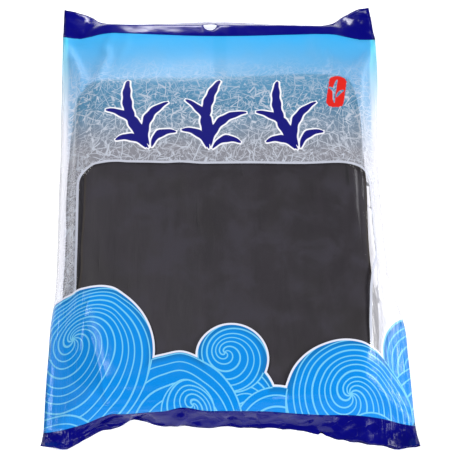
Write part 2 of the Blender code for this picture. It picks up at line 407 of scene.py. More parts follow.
def bag_point(across, along, front):
    """Any point of the bag from its place on the flat bag; the fins are already in place."""
    layer = 0.0 if front else LAYER_GAP * ease(0.0, 0.004, FLAT_HALF_WIDTH - abs(across))
    if 0.0 < along < PANEL_LENGTH:
        return panel_point(across, along / PANEL_LENGTH, front)
    if along <= 0.0:
        distance, reach, point = -along, sum(FIN_STRIPS), fin_point
    else:
        distance, reach, point = along - PANEL_LENGTH, sum(HEADER_STRIPS), header_point
    layer *= ease(0.0, 0.004, distance) * ease(0.0, 0.002, reach - distance)
    y, z = point(across, distance)
    return plan_across(across, along), y, z - layer


# ---------------------------------------------------------------- mesh helpers


def link_object(name, data):
    made = bpy.data.objects.new(name, data)
    bpy.context.scene.collection.objects.link(made)
    return made


def mesh_object(bm, name):
    mesh = bpy.data.meshes.new(name)
    bm.to_mesh(mesh)
    bm.free()
    return link_object(name, mesh)


def finish_piece(bm, name, material):
    """A smooth-shaded object from a bmesh, with one material."""
    made = mesh_object(bm, name)
    made.data.materials.append(material)
    made.data.shade_smooth()
    return made


def faces_of(verts):
    """Every face round some vertices, once each."""
    return list(dict.fromkeys(face for vert in verts for face in vert.link_faces))


def write_map(faces, layer, place_of):
    """Fills a UV map from the place that each vertex gives."""
    for face in faces:
        for loop in face.loops:
            loop[layer].uv = place_of(loop.vert)


def extruded_verts(bm, faces, keep=False):
    """Extrudes faces and gives the new vertices, which are still in place."""
    made = bmesh.ops.extrude_face_region(bm, geom=faces, use_keep_orig=keep)["geom"]
    return [item for item in made if isinstance(item, bmesh.types.BMVert)]


def row_stations(panel_rows):
    """Places along the flat bag of every row of the film, from the fin's edge to the header's."""
    step = PANEL_LENGTH / panel_rows
    fin_rows = max(round(1.6 * sum(FIN_STRIPS) / step), 2)
    head_rows = max(round(1.3 * sum(HEADER_STRIPS) / step), 3)
    rows = [-sum(FIN_STRIPS) * (fin_rows - row) / fin_rows for row in range(fin_rows)]
    rows += [PANEL_LENGTH * row / panel_rows for row in range(panel_rows + 1)]
    rows += [PANEL_LENGTH + sum(HEADER_STRIPS) * (row + 1) / head_rows for row in range(head_rows)]
    return rows


def film_sheet(bm, columns, rows, front, flat):
    """One full sheet of the bag, as a grid carried to its place; flat keeps where each
    vertex lies on the flat bag."""
    grid = bmesh.ops.create_grid(bm, x_segments=columns, y_segments=len(rows) - 1, size=0.5)
    verts = grid["verts"]
    across_layer, along_layer = flat
    for vert in verts:
        across = 2.0 * FLAT_HALF_WIDTH * vert.co.x
        along = rows[round((vert.co.y + 0.5) * (len(rows) - 1))]
        vert[across_layer] = across
        vert[along_layer] = along
        vert.co = bag_point(across, along, front)
    faces = faces_of(verts)
    if not front:
        bmesh.ops.reverse_faces(bm, faces=faces)
    return verts, faces


def write_print_map(bm, front_faces, back_faces, flat):
    """The print's map: the flat bag in metres, the back set apart by a whole metre."""
    across_layer, along_layer = flat
    print_map = bm.loops.layers.uv.new("print")
    write_map(front_faces, print_map, lambda vert: (vert[across_layer], vert[along_layer]))
    write_map(back_faces, print_map,
              lambda vert: (vert[across_layer] + BACK_OFFSET, vert[along_layer]))


def on_rim(vert, flat):
    across, along = vert[flat[0]], vert[flat[1]]
    return (abs(across) > FLAT_HALF_WIDTH - SAME_PLACE
            or along < -sum(FIN_STRIPS) + SAME_PLACE
            or along > PANEL_LENGTH + sum(HEADER_STRIPS) - SAME_PLACE)


def film_shell(settings):
    """Front and back sheets welded along the rim into one closed skin."""
    bm = bmesh.new()
    flat = (bm.verts.layers.float.new("across"), bm.verts.layers.float.new("along"))
    rows = row_stations(settings.panel_rows)
    front_verts, front_faces = film_sheet(bm, settings.columns, rows, True, flat)
    back_verts, back_faces = film_sheet(bm, settings.columns, rows, False, flat)
    write_print_map(bm, front_faces, back_faces, flat)

    def place(vert):
        return round(vert[flat[0]], 5), round(vert[flat[1]], 5)

    rim = {place(vert): vert for vert in front_verts if on_rim(vert, flat)}
    bmesh.ops.weld_verts(bm, targetmap={
        vert: rim[place(vert)] for vert in back_verts if on_rim(vert, flat)})
    return bm


# ---------------------------------------------------------------- settling the film


def set_face_order(bm):
    """Makes the faces anew in one fixed order. An extrusion leaves their order to chance,
    and where the film settles would hang on it."""
    verts = bm.verts[:]
    bm.verts.index_update()
    rings = []
    for face in bm.faces:
        ring = [vert.index for vert in face.verts]
        turn = ring.index(min(ring))
        rings.append(ring[turn:] + ring[:turn])
    bmesh.ops.delete(bm, geom=bm.edges[:], context="EDGES_FACES")
    for ring in sorted(rings):
        bm.faces.new([verts[index] for index in ring])


def make_solid(bm, name, outer):
    """An object that the film rests on, at the simulation's size."""
    set_face_order(bm)
    bmesh.ops.scale(bm, vec=(SIM_SCALE,) * 3, verts=bm.verts)
    helper = mesh_object(bm, name)
    helper.modifiers.new("Collision", "COLLISION")
    helper.collision.thickness_outer = outer
    helper.collision.cloth_friction = 5
    helper.collision.damping = 0.5
    return helper


def stack_block():
    """A solid under the film with the stack's rounded top."""
    bm = bmesh.new()
    for vert in bmesh.ops.create_grid(bm, x_segments=26, y_segments=28, size=0.5)["verts"]:
        x = STACK_LEFT + (STACK_RIGHT - STACK_LEFT) * (vert.co.x + 0.5)
        y = STACK_FOOT + (STACK_HEAD - STACK_FOOT) * (vert.co.y + 0.5)
        vert.co = (x, y, stack_height(x, y))
    for vert in extruded_verts(bm, bm.faces[:]):
        vert.co.z = 0.0009
    bmesh.ops.recalc_face_normals(bm, faces=bm.faces)
    return make_solid(bm, "stack_block", SIM_GAP)


def table_top():
    bm = bmesh.new()
    bmesh.ops.create_grid(bm, x_segments=1, y_segments=1, size=0.5)
    return make_solid(bm, "table_top", TABLE_GAP)


FABRIC = {
    "quality": 6, "mass": 0.1, "tension_stiffness": 80, "compression_stiffness": 60,
    "shear_stiffness": 40, "bending_model": "ANGULAR", "tension_damping": 10,
    "compression_damping": 10, "shear_damping": 10, "bending_damping": 0.5, "air_damping": 3,
}
TOUCH = {"use_collision": True, "distance_min": SIM_GAP, "use_self_collision": False,
         "collision_quality": 3}


def settle_film(film, settings):
    """Lets the film find its shape over the stack, with its fins and side folds held."""
    scene = bpy.context.scene
    across = film.data.attributes["across"].data
    along = film.data.attributes["along"].data
    held = film.vertex_groups.new(name="sealed")
    held.add([vert.index for vert in film.data.vertices
              if not SAME_PLACE < along[vert.index].value < PANEL_LENGTH - SAME_PLACE
              or abs(across[vert.index].value) > FLAT_HALF_WIDTH - SAME_PLACE], 1.0, "REPLACE")
    film.shape_key_add(name="Basis")
    rest = film.shape_key_add(name="Laid flat")
    for index, point in enumerate(rest.data):
        point.co = (SIM_SCALE * across[index].value, SIM_SCALE * along[index].value, 0.0)
    rest.value = 0.0

    cloth = film.modifiers.new("Settling", "CLOTH")
    for name, value in (*FABRIC.items(), ("bending_stiffness", settings.stiffness),
                        ("vertex_group_mass", held.name), ("rest_shape_key", rest)):
        setattr(cloth.settings, name, value)
    for name, value in TOUCH.items():
        setattr(cloth.collision_settings, name, value)

    helpers = (stack_block(), table_top())
    cloth.point_cache.frame_start = scene.frame_start = 1
    cloth.point_cache.frame_end = scene.frame_end = settings.settle_frames
    for step in range(1, settings.settle_frames + 1):
        scene.frame_set(step)
    settled = film.evaluated_get(bpy.context.evaluated_depsgraph_get()).to_mesh()
    places = [vert.co.copy() for vert in settled.vertices]
    film.modifiers.clear()
    film.shape_key_clear()
    film.vertex_groups.clear()
    for helper in helpers:
        bpy.data.objects.remove(helper, do_unlink=True)
    scene.frame_set(1)
    return places


def punch_hang_hole(bm, flat):
    """Opens the round hole through both layers of the header and joins their rims."""
    print_map = bm.loops.layers.uv["print"]

    def from_hole(vert):
        return Vector((vert[flat[0]], vert[flat[1]])) - HANG_HOLE

    doomed = []
    for face in bm.faces:
        reach = sum((from_hole(vert) for vert in face.verts), Vector((0, 0))) / len(face.verts)
        if reach.length < HANG_HOLE_RADIUS:
            doomed.append(face)
    if not doomed:
        raise RuntimeError("the header has no faces where its hole belongs")
    touched = dict.fromkeys(edge for face in doomed for edge in face.edges)
    bmesh.ops.delete(bm, geom=doomed, context="FACES")
    rim = [edge for edge in touched if edge.is_valid and edge.is_boundary]
    bmesh.ops.subdivide_edges(bm, edges=rim, cuts=2)
    rim = [edge for edge in bm.edges if edge.is_boundary]
    for vert in dict.fromkeys(vert for edge in rim for vert in edge.verts):
        behind = min(loop[print_map].uv.x for loop in vert.link_loops) > 0.5 * BACK_OFFSET
        place = HANG_HOLE + from_hole(vert).normalized() * HANG_HOLE_RADIUS
        vert[flat[0]], vert[flat[1]] = place
        x, y, z = bag_point(place.x, place.y, not behind)
        vert.co = (x, y + CENTRE_SHIFT, z)
        for loop in vert.link_loops:
            loop[print_map].uv = (place.x + (BACK_OFFSET if behind else 0.0), place.y)
    bmesh.ops.bridge_loops(bm, edges=rim)


def cut_tear_notch(bm, flat):
    """Pushes one point of the fin's free edge in, between its two neighbours."""
    across_layer, along_layer = flat
    print_map = bm.loops.layers.uv["print"]
    free_edge = [vert for vert in bm.verts if vert[along_layer] < -sum(FIN_STRIPS) + SAME_PLACE]
    tip = min(free_edge, key=lambda vert: abs(vert[across_layer] - NOTCH_ACROSS))
    tip[along_layer] += NOTCH_DEPTH
    x, y, z = bag_point(tip[across_layer], tip[along_layer], True)
    tip.co = (x, y + CENTRE_SHIFT, z)
    for loop in tip.link_loops:
        loop[print_map].uv.y = tip[along_layer]


# ---------------------------------------------------------------- node helpers


def arithmetic(operation):
    """A Python operator and its reflected form, each adding one maths node."""

    def forwards(self, other):
        return self.tree.arithmetic(operation, self, other)

    def backwards(self, other):
        return self.tree.arithmetic(operation, other, self)

    return forwards, backwards


class Signal:
    """An output socket that can stand in sums: a * b adds a Multiply node to its tree."""

    def __init__(self, tree, socket):
        self.tree = tree
        self.socket = socket

    __add__, __radd__ = arithmetic("ADD")
    __sub__, __rsub__ = arithmetic("SUBTRACT")
    __mul__, __rmul__ = arithmetic("MULTIPLY")
    __truediv__, __rtruediv__ = arithmetic("DIVIDE")

    def __abs__(self):
        return self.tree.arithmetic("ABSOLUTE", self)


class Tree:
    """Adds nodes to a node tree and links them, one short call for each."""

    def __init__(self, tree):
        self.tree = tree
        self.nodes = tree.nodes
        self.made = 0

    def node(self, kind, **settings):
        made = self.nodes.new(kind)
        for name, value in settings.items():
            setattr(made, name, value)
        made.location = (180 * (self.made // 8), -170 * (self.made % 8))
        self.made += 1
        return made

    def output(self, node, name=0):
        return Signal(self, node.outputs[name])

    def feed(self, socket, value):
        """Links a signal to a socket, or sets the socket to a constant."""
        if isinstance(value, Signal):
            self.tree.links.new(value.socket, socket)
        elif value is not None:
            if hasattr(socket.default_value, "__len__") and len(socket.default_value) == 4:
                value = (*value[:3], 1.0)
            socket.default_value = value

    def fill(self, node, values):
        for name, value in values.items():
            self.feed(node.inputs[name], value)

    def run(self, kind, values, output=0, **settings):
        """Adds a node, fills its inputs in order or by name, and gives one output."""
        made = self.node(kind, **settings)
        self.fill(made, values if isinstance(values, dict) else dict(enumerate(values)))
        return self.output(made, output)

    def math(self, operation, *values):
        return self.run("ShaderNodeMath", values, operation=operation)

    def vector(self, operation, *values):
        scalar = operation in ("LENGTH", "DISTANCE", "DOT_PRODUCT")
        return self.run("ShaderNodeVectorMath", values, "Value" if scalar else "Vector",
                        operation=operation)

    def arithmetic(self, operation, *values):
        """Vector maths where one of the values is a vector, plain maths elsewhere."""
        kinds = {value.socket.type for value in values if isinstance(value, Signal)}
        return (self.vector if kinds & {"VECTOR", "RGBA"} else self.math)(operation, *values)

    def times_plus(self, first, second, third):
        return self.math("MULTIPLY_ADD", first, second, third)

    def lowest(self, first, second):
        return self.math("MINIMUM", first, second)

    def highest(self, first, second):
        return self.math("MAXIMUM", first, second)

    def split(self, vector):
        made = self.node("ShaderNodeSeparateXYZ")
        self.feed(made.inputs[0], vector)
        return [self.output(made, axis) for axis in range(3)]

    def join(self, x, y, z=0.0):
        return self.run("ShaderNodeCombineXYZ", (x, y, z))

    def turned(self, vector, angle):
        """A vector turned round the z axis by some radians."""
        return self.run("ShaderNodeVectorRotate", {"Vector": vector, "Angle": angle},
                        rotation_type="Z_AXIS")

    def mix(self, share, first, second):
        """A mix of two colours."""
        return self.run("ShaderNodeMix", {0: share, 6: first, 7: second}, 2, data_type="RGBA")

    def blend(self, share, first, second):
        """A mix of two values."""
        return self.run("ShaderNodeMix", {0: share, 2: first, 3: second}, data_type="FLOAT")

    def span(self, value, low, high, start=0.0, end=1.0, kind="SMOOTHSTEP"):
        """Carries low..high to start..end and holds the ends."""
        return self.run("ShaderNodeMapRange", (value, low, high, start, end),
                        interpolation_type=kind)

    def within(self, edge, low, high):
        """1 where a distance outside an edge is below low, 0 where it is above high."""
        return self.span(edge, low, high, 1.0, 0.0)

    def noise(self, vector, scale, detail=2.0, roughness=0.5, distortion=0.0, output=0):
        return self.run("ShaderNodeTexNoise", {
            "Vector": vector, "Scale": scale, "Detail": detail, "Roughness": roughness,
            "Distortion": distortion}, output)

    def cell_edge(self, vector):
        """Distance to the nearest edge between flat cells about one unit across."""
        return self.run("ShaderNodeTexVoronoi", {"Vector": vector, "Scale": 1.0}, "Distance",
                        feature="DISTANCE_TO_EDGE", voronoi_dimensions="2D")

    def facets(self, vector, pace):
        """A height of flat facets, one to a cell, each leaning its own way."""
        cells = self.node("ShaderNodeTexVoronoi", voronoi_dimensions="2D")
        stretched = vector * pace
        self.fill(cells, {"Vector": stretched, "Scale": 1.0})
        lean = self.output(cells, "Color") - HALF_WAY
        from_middle = stretched - self.output(cells, "Position")
        return self.vector("DOT_PRODUCT", from_middle, lean * (1, 1, 0))

    def strayed(self, vector, scale, reach):
        """A vector pushed about by smooth noise."""
        push = self.noise(vector, scale, 1.0, output="Color") - HALF_WAY
        return vector + self.run("ShaderNodeVectorMath", {0: push, "Scale": 2.0 * reach},
                                 operation="SCALE")

    def bump(self, height, strength, distance):
        return self.run("ShaderNodeBump", {"Height": height, "Strength": strength,
                                           "Distance": distance})

    def group(self, group, **values):
        """Places a node group, and gives its outputs in order."""
        made = self.node("ShaderNodeGroup", node_tree=group)
        self.fill(made, {name.replace("_", " ").capitalize(): value
                         for name, value in values.items()})
        return [self.output(made, index) for index in range(len(made.outputs))]

    def steps(self, value, stops):
        """A colour ramp; stops are (place, colour)."""
        made = self.node("ShaderNodeValToRGB")
        self.feed(made.inputs[0], value)
        elements = made.color_ramp.elements
        while len(elements) < len(stops):
            elements.new(0.5)
        for element, (place, colour) in zip(elements, stops):
            element.position = place
            element.color = (*colour, 1.0)
        return self.output(made)


HALF_WAY = (0.5, 0.5, 0.5)       # the middle of what a colour's parts run over
NOT_YET = 100.0                  # the edge of no shape at all: far outside
NOWHERE = (0, 0, 0)


def node_group(name, inputs, outputs, build):
    """A shader node group, built once, with its inputs' first values; build takes the tree
    and its inputs by name and returns its outputs in order."""
    known = bpy.data.node_groups.get(name)
    if known:
        return known
    group = bpy.data.node_groups.new(name, "ShaderNodeTree")
    for label, default in inputs.items():
        kind = "NodeSocketVector" if isinstance(default, tuple) else "NodeSocketFloat"
        socket = group.interface.new_socket(name=label, in_out="INPUT", socket_type=kind)
        socket.default_value = default
    for label in outputs:
        group.interface.new_socket(name=label, in_out="OUTPUT", socket_type="NodeSocketFloat")
    tree = Tree(group)
    start = tree.node("NodeGroupInput")
    results = build(tree, {label: tree.output(start, label) for label in inputs})
    tree.fill(tree.node("NodeGroupOutput"), dict(zip(outputs, results)))
    return group


def new_material(name):
    material = bpy.data.materials.new(name)
    material.use_nodes = True
    return material, Tree(material.node_tree)


def lay_curl_group():
    """One wave: rings drawn in towards a tip, each smaller and nearer to it than the last,
    joined into a spiral by their turn round the tip."""

    def build(tree, given):
        from_tip = given["Point"] - given["Tip"]
        lean = given["Centre"] - given["Tip"]
        radius = given["Radius"]
        lean_square = tree.vector("DOT_PRODUCT", lean, lean)
        along = tree.vector("DOT_PRODUCT", from_tip, lean)
        square = tree.vector("DOT_PRODUCT", from_tip, from_tip)
        room = radius * radius - lean_square
        root = tree.math("SQRT", tree.times_plus(room, square, along * along))
        ring = tree.highest((root - along) / room, 0.002)
        facing = (along - ring * lean_square) / (ring * radius)
        ring_slope = 1.0 / (radius + facing)
        x, y, _ = tree.split(from_tip)
        turn = tree.math("ARCTAN2", y, x) / (2.0 * math.pi)
        level = tree.times_plus(ring, given["Rings"], turn * given["Arms"])
        bunch = tree.math("SINE", level * (math.pi / 2.0))
        miss = tree.math("PINGPONG", tree.times_plus(bunch, 0.12, level), 0.5)
        rings_slope = ring_slope * given["Rings"]
        reach = tree.highest(tree.math("SQRT", square), 0.5)
        arms_slope = given["Arms"] / (reach * 6.2832)
        slope = tree.math("SQRT", tree.times_plus(rings_slope, rings_slope,
                                                  arms_slope * arms_slope))
        half = given["Line width"] * 0.5
        line = tree.within(miss / slope, half, half + 0.35)
        outside = tree.vector("DISTANCE", given["Point"], given["Centre"]) - radius
        border = tree.span(outside, -1.3, -0.9) * tree.within(given["Edge"], -1.0, -0.5)
        line = tree.blend(tree.within(outside, -0.15, 0.15), given["Lines"],
                          tree.highest(line, border))
        return line, tree.lowest(given["Edge"], outside)

    return node_group("Lay Curl", {
        "Lines": 0.0, "Edge": NOT_YET, "Point": NOWHERE, "Tip": NOWHERE, "Centre": NOWHERE,
        "Radius": 30.0, "Rings": 10.0, "Arms": 4.0, "Line width": 0.75}, ("Lines", "Edge"), build)


# centre across and along, radius, tip across and along, rings, arms; from back to front
CURLS = (
    (176, 50, 47, 168, 30, 9, 0),
    (174, 12, 42, 170, -20, 8, 0),
    (4, 6, 34, 22, -14, 8, 0),
    (3, 42, 28.5, -3, 46, 6, 4),
    (40, -21, 40, 42, -40, 8, 0),
    (-45, -12, 56, -40, -30, 9, 0),
    (-34, 0, 22, -30, 3, 5, 4),
    (-125, 47, 63, -130, 70, 12, 8),
    (-143, -30, 42, -140, -50, 9, 0),
    (98, 5, 53, 99, 15, 10, 8),
    (118, -24, 28, 118, -40, 7, 0),
)


def wave_band_group():
    """All the waves of the print: their fine lines, and how far a point is outside them."""

    def build(tree, given):
        lines, edge = None, None
        for across, along, radius, tip_across, tip_along, rings, arms in CURLS:
            lines, edge = tree.group(
                lay_curl_group(), lines=lines, edge=edge, point=given["Point"],
                centre=(across, along, 0), tip=(tip_across, tip_along, 0),
                radius=radius, rings=rings, arms=arms)
        return lines, edge

    return node_group("Wave Band", {"Point": NOWHERE}, ("Lines", "Edge"), build)


# turn, shift, width of the cells whose edges they follow, thickness, strength
FIBRE_LAYERS = (
    (0.15, 0.0, 7.5, 0.060, 1.0),
    (1.05, 31.0, 6.5, 0.055, 0.9),
    (1.75, 67.0, 7.0, 0.065, 0.9),
    (2.45, 97.0, 6.0, 0.055, 0.8),
    (0.60, 139.0, 4.5, 0.070, 0.55),
    (1.40, 171.0, 4.0, 0.075, 0.5),
    (2.85, 203.0, 4.2, 0.070, 0.5),
)


def paper_fibres_group():
    """Thin curved fibres lying in all directions, each broken off after a short way."""

    def build(tree, given):
        fibres = None
        bent = tree.strayed(given["Point"], 0.035, 8.0)
        for angle, shift, pitch, width, strength in FIBRE_LAYERS:
            placed = tree.turned(bent, angle) + (shift, -shift, 0.0)
            squeezed = placed * (1.0 / pitch, 0.22 / pitch, 1.0)
            line = tree.span(tree.cell_edge(squeezed), 0.3 * width, width, strength, 0.0)
            broken = tree.noise(placed * (0.09, 0.045, 1.0), 1.0, 1.0)
            line = line * tree.span(broken, 0.44, 0.56)
            fibres = line if fibres is None else tree.highest(fibres, line)
        return (fibres,)

    return node_group("Paper Fibres", {"Point": NOWHERE}, ("Fibres",), build)


def brush_leaf_group():
    """One wavy-edged blade laid with a brush: how far a point is outside it."""

    def build(tree, given):
        angle = given["Angle"] * (-math.pi / 180.0)
        x, y, _ = tree.split(tree.turned(given["Point"] - given["Root"], angle))
        share = x / given["Length"]
        held = tree.lowest(tree.highest(share, 0.0), 1.0)
        rise = held * (1.0 - held) * 4.0 * given["Bend"]
        swell = tree.math("SINE", tree.math("POWER", held, 1.25) * math.pi)
        belly = tree.math("POWER", swell, 0.42)
        frill = tree.times_plus(tree.math("SINE", x * 0.52), 0.10, 1.0)
        beside = abs(y - rise) - belly * frill * given["Width"]
        beyond = abs(share - held) * given["Length"]
        return (tree.lowest(given["Edge"], beside + beyond),)

    return node_group("Brush Leaf", {
        "Edge": NOT_YET, "Point": NOWHERE, "Root": NOWHERE, "Angle": 90.0, "Length": 40.0,
        "Width": 4.0, "Bend": 0.0}, ("Edge",), build)


def leaves_edge(tree, point, leaves, edge=None):
    """How far a point is outside the nearest of some leaves."""
    for root_x, root_y, angle, length, width, bend in leaves:
        edge, = tree.group(brush_leaf_group(), edge=edge, point=point, root=(root_x, root_y, 0),
                           angle=angle, length=length, width=width, bend=bend)
    return edge


def rounded_box_group():
    """How far a point is outside a box with rounded corners."""

    def build(tree, given):
        angle = given["Angle"] * (-math.pi / 180.0)
        placed = tree.turned(given["Point"] - given["Centre"], angle)
        rounding = given["Rounding"]
        inner = given["Half size"] - tree.join(rounding, rounding)
        x, y, _ = tree.split(abs(placed) - inner)
        corner = tree.join(tree.highest(x, 0.0), tree.highest(y, 0.0))
        flat = tree.lowest(tree.highest(x, y), 0.0)
        return (tree.vector("LENGTH", corner) + flat - rounding,)

    return node_group("Rounded Box", {
        "Point": NOWHERE, "Centre": NOWHERE, "Half size": (10, 10, 0), "Rounding": 2.0,
        "Angle": 0.0}, ("Edge",), build)


# ---------------------------------------------------------------- materials

FILM_IOR = 1.46
METRE = 1000.0                   # in millimetres of the flat bag
WINDOW = {"centre": (4.5, 60.0, 0.0), "half_size": (135.5, 166.5, 0.0), "rounding": 17.0}
STAMP = {"centre": (110, 302, 0), "half_size": (8.4, 17.5, 0), "rounding": 6.0, "angle": -7}
BAND_FOOT, BAND_HEAD = 240.0, 376.0
BAND_COVER = ((0.0, 0.27), (0.11, 0.31), (0.26, 0.38), (0.40, 0.44), (0.60, 0.59), (0.74, 0.70),
              (0.88, 0.80), (1.0, 0.86))
BARE_SIDES = 145.5, 148.0        # the print gives way here to the lighter margin inks, painted light from the floor under the sides
SHARP_EDGE = -0.2, 0.2           # over this much, in millimetres, a printed edge fades
SPRIG_START, SPRIG_PITCH, SPRIG_HEIGHT = 109.0, 70.0, 278.0
# root across and along, angle, length, half width, bend; one sprig about its own middle
SPRIG = (
    (0, -37, 95, 76, 4.4, 8),
    (-1, -34, 126, 53, 4.0, -10),
    (1, -34, 60, 50, 4.0, 11),
    (-2, -36, 156, 29, 3.6, -7),
    (3, -36, 27, 28, 3.6, 7),
)
STAMP_MARK = (
    (108, 289, 84, 26, 1.6, 1.5),
    (110, 295, 50, 11, 1.4, 1),
    (109, 299, 130, 10, 1.4, -1),
)
CREASES = (                      # as thin leaves pressed into the lower left facet
    (-123, 92, -74, 86, 0.3, 1.5),
    (-118, 98, -100, 40, 0.3, -1.0),
)


def sprigs_edge(tree, point):
    """Three kelp sprigs in a row, the same one leaning three ways."""
    across, along, _ = tree.split(point)
    cell = tree.math("FLOOR", (across + SPRIG_START) / SPRIG_PITCH)
    middle = tree.times_plus(cell, SPRIG_PITCH, 0.5 * SPRIG_PITCH - SPRIG_START)
    local = tree.join(across - middle, along - SPRIG_HEIGHT)
    local = tree.turned(local, (tree.math("PINGPONG", cell, 1.0) - 0.4) * 0.4)
    edge = leaves_edge(tree, local, SPRIG)
    outside = tree.math("GREATER_THAN", abs(cell - 1.0), 1.5)
    return tree.times_plus(outside, NOT_YET, edge)


def flat_place(tree):
    """Where a point of the film lies on the flat bag, in millimetres, and whether behind."""
    x, y, _ = tree.split(tree.output(tree.node("ShaderNodeUVMap", uv_map="print")))
    behind = tree.math("GREATER_THAN", x, 0.5 * BACK_OFFSET)
    return (x - behind) * METRE, y * METRE, behind


def window_edge(tree, point):
    """How far a point is outside the clear window, which narrows at its lower right."""
    across, along, _ = tree.split(point)
    narrower = tree.span(along, 70.0, 160.0, 22.0, 0.0) * tree.span(across, 60.0, 112.0)
    placed = tree.join(across + narrower, along)
    return tree.group(rounded_box_group(), point=placed, **WINDOW)[0]


def print_inks(tree, inks, place):
    """The whole print on the flat bag, with painted light down its sides: its colour, and how much
    of the film it covers.
    """
    across, along, behind = place
    aside = abs(across)
    point = tree.join(across, along)

    def lay(under, share, shade, cover):
        """A shade laid over a part of what is under it."""
        return tree.mix(share, under[0], shade), tree.blend(share, under[1], cover)

    # sky thinning into the pale fibre band, and down the sides lighter copies of the inks, painted
    # light from the floor under them
    height = tree.times_plus(tree.noise(point, 0.03) - 0.5, 22.0, along)
    band = tree.span(height, BAND_FOOT, BAND_HEAD, kind="LINEAR")
    sky = tree.steps(band, ((0.0, inks.paper), (0.34, inks.haze), (0.72, inks.haze),
                            (1.0, inks.sky)))
    sky_cover = tree.steps(band, [(stop, (share,) * 3) for stop, share in BAND_COVER])
    sky_cover = tree.split(sky_cover)[0]
    window = window_edge(tree, point)
    lower_right = tree.span(across, 100.0, 110.0) * tree.span(along, 230.0, 180.0)
    bare = tree.highest(tree.span(aside, *BARE_SIDES), lower_right * tree.span(window, 0.5, 2.0))
    # painted light: the sides' white and pale cyan, lighter than the print beside them
    margin = tree.steps(band, ((0.0, inks.margin), (0.30, inks.margin), (0.95, inks.lit_margin_sky)))
    film = lay((sky, sky_cover), bare, margin, tree.span(band, 0.2, 0.9, 0.30, 0.90))
    fibres = tree.group(paper_fibres_group(), point=point)[0]
    fibres = fibres * (1.0 - bare) * tree.span(height, 356.0, 286.0)
    colour, cover = lay(film, fibres, inks.fibre, tree.span(aside, 122.0, 134.0, 0.71, 0.58))

    # the clear window and its outline
    outline = tree.within(abs(window - 1.1), 0.8, 1.4)
    cover = cover * tree.span(window, *SHARP_EDGE)
    film = lay((colour, cover), outline, inks.silver, 0.94)

    # the sprigs and the stamp, on the front alone
    front = 1.0 - behind
    sprigs = sprigs_edge(tree, point)
    stamp = tree.group(rounded_box_group(), point=point, **STAMP)[0]
    ragged = tree.times_plus(tree.noise(point, 0.55, 3.0) - 0.5, 2.4, stamp)
    mark = leaves_edge(tree, point, STAMP_MARK)
    red = tree.within(ragged, -0.3, 0.3) * front * tree.span(mark, -0.2, 0.3)
    film = lay(film, tree.within(sprigs, 1.5, 1.9) * front, (0.9, 0.9, 0.94), 0.97)
    film = lay(film, tree.within(sprigs, *SHARP_EDGE) * front, inks.navy, 0.97)
    film = lay(film, red, inks.stamp, 0.97)

    # the waves over all of it, then solid navy on the header and the fin
    lines, edge = tree.group(wave_band_group(), point=point)
    water = tree.mix(tree.span(edge, -7.0, -1.0), inks.wave, inks.crest)
    water = tree.mix(lines, water, inks.wave_line)
    film = lay(film, tree.within(edge, 1.4, 1.9), inks.paper, 0.95)
    film = lay(film, tree.within(edge, *SHARP_EDGE), water, tree.blend(lines, 0.84, 0.92))
    seals = tree.highest(tree.span(along, 376.6, 377.0), tree.span(along, 0.4, 0.0))
    return lay(film, seals, inks.navy, 0.985)


def film_normal(tree, place):
    """Ripples all over the film, pleats down its sides and sharp facets on its crumpled ends."""
    across, along, _ = place
    point = tree.join(across, along)
    aside = abs(across)
    height = tree.noise(point, 0.11, 3.0, 0.55)
    pleat = abs(tree.noise(point * (0.30, 0.016, 1.0), 1.0, 2.0, 0.5, 0.3) - 0.5)
    sides = tree.span(aside, 112.0, 130.0) * tree.span(along, 370.0, 300.0)
    height = tree.times_plus(pleat * sides, -6.0, height)
    ears = tree.span(along, 376.0, 379.0) * tree.span(aside, 106.0, 122.0)
    crumpled = tree.times_plus(ears, 0.06, tree.span(along, 2.0, -2.0))
    facets = tree.facets(tree.strayed(point, 0.06, 3.0), (0.11, 0.17, 1.0))
    height = tree.times_plus(facets * crumpled, 12.0, height)
    height = height + tree.span(leaves_edge(tree, point, CREASES), -0.4, 4.0, 4.5, 0.0)
    return tree.bump(height, 0.35, 0.0006)


def film_material(inks):
    material, tree = new_material("printed_film")
    tree.nodes.clear()
    place = flat_place(tree)
    across, along, _ = place
    colour, cover = print_inks(tree, inks, place)
    normal = film_normal(tree, place)
    point = tree.join(across, along)
    matt = tree.span(along, 215.0, 260.0) * tree.span(along, 377.0, 374.0)
    rough = tree.span(tree.noise(point, 0.11), 0.3, 0.7, 0.16, 0.24)
    printed = tree.run("ShaderNodeBsdfPrincipled", {
        "Base Color": colour, "Roughness": tree.blend(matt, rough, 0.55), "Normal": normal,
        "IOR": FILM_IOR, "Specular IOR Level": 0.29})

    # the same film seen from either side, so that its inner face is no mirror
    behind = tree.output(tree.node("ShaderNodeNewGeometry"), "Backfacing")
    fresnel = tree.run("ShaderNodeFresnel", {
        "IOR": tree.blend(behind, FILM_IOR, 1.0 / FILM_IOR), "Normal": normal})
    through = tree.run("ShaderNodeBsdfTransparent", {"Color": (0.965, 0.965, 0.985)})
    gloss = tree.run("ShaderNodeBsdfGlossy", {
        "Roughness": tree.blend(matt, 0.12, 0.45), "Normal": normal})
    # where the film is pressed on the sheets, its gloss is the sheets' own coat
    pressed = tree.span(window_edge(tree, point), -1.0, -4.0) * tree.span(abs(across), 134.0, 126.0)
    clear = tree.run("ShaderNodeMixShader", (fresnel * (1.0 - pressed), through, gloss))
    film = tree.run("ShaderNodeMixShader", (cover, clear, printed))
    tree.fill(tree.node("ShaderNodeOutputMaterial"), {"Surface": film})
    return material


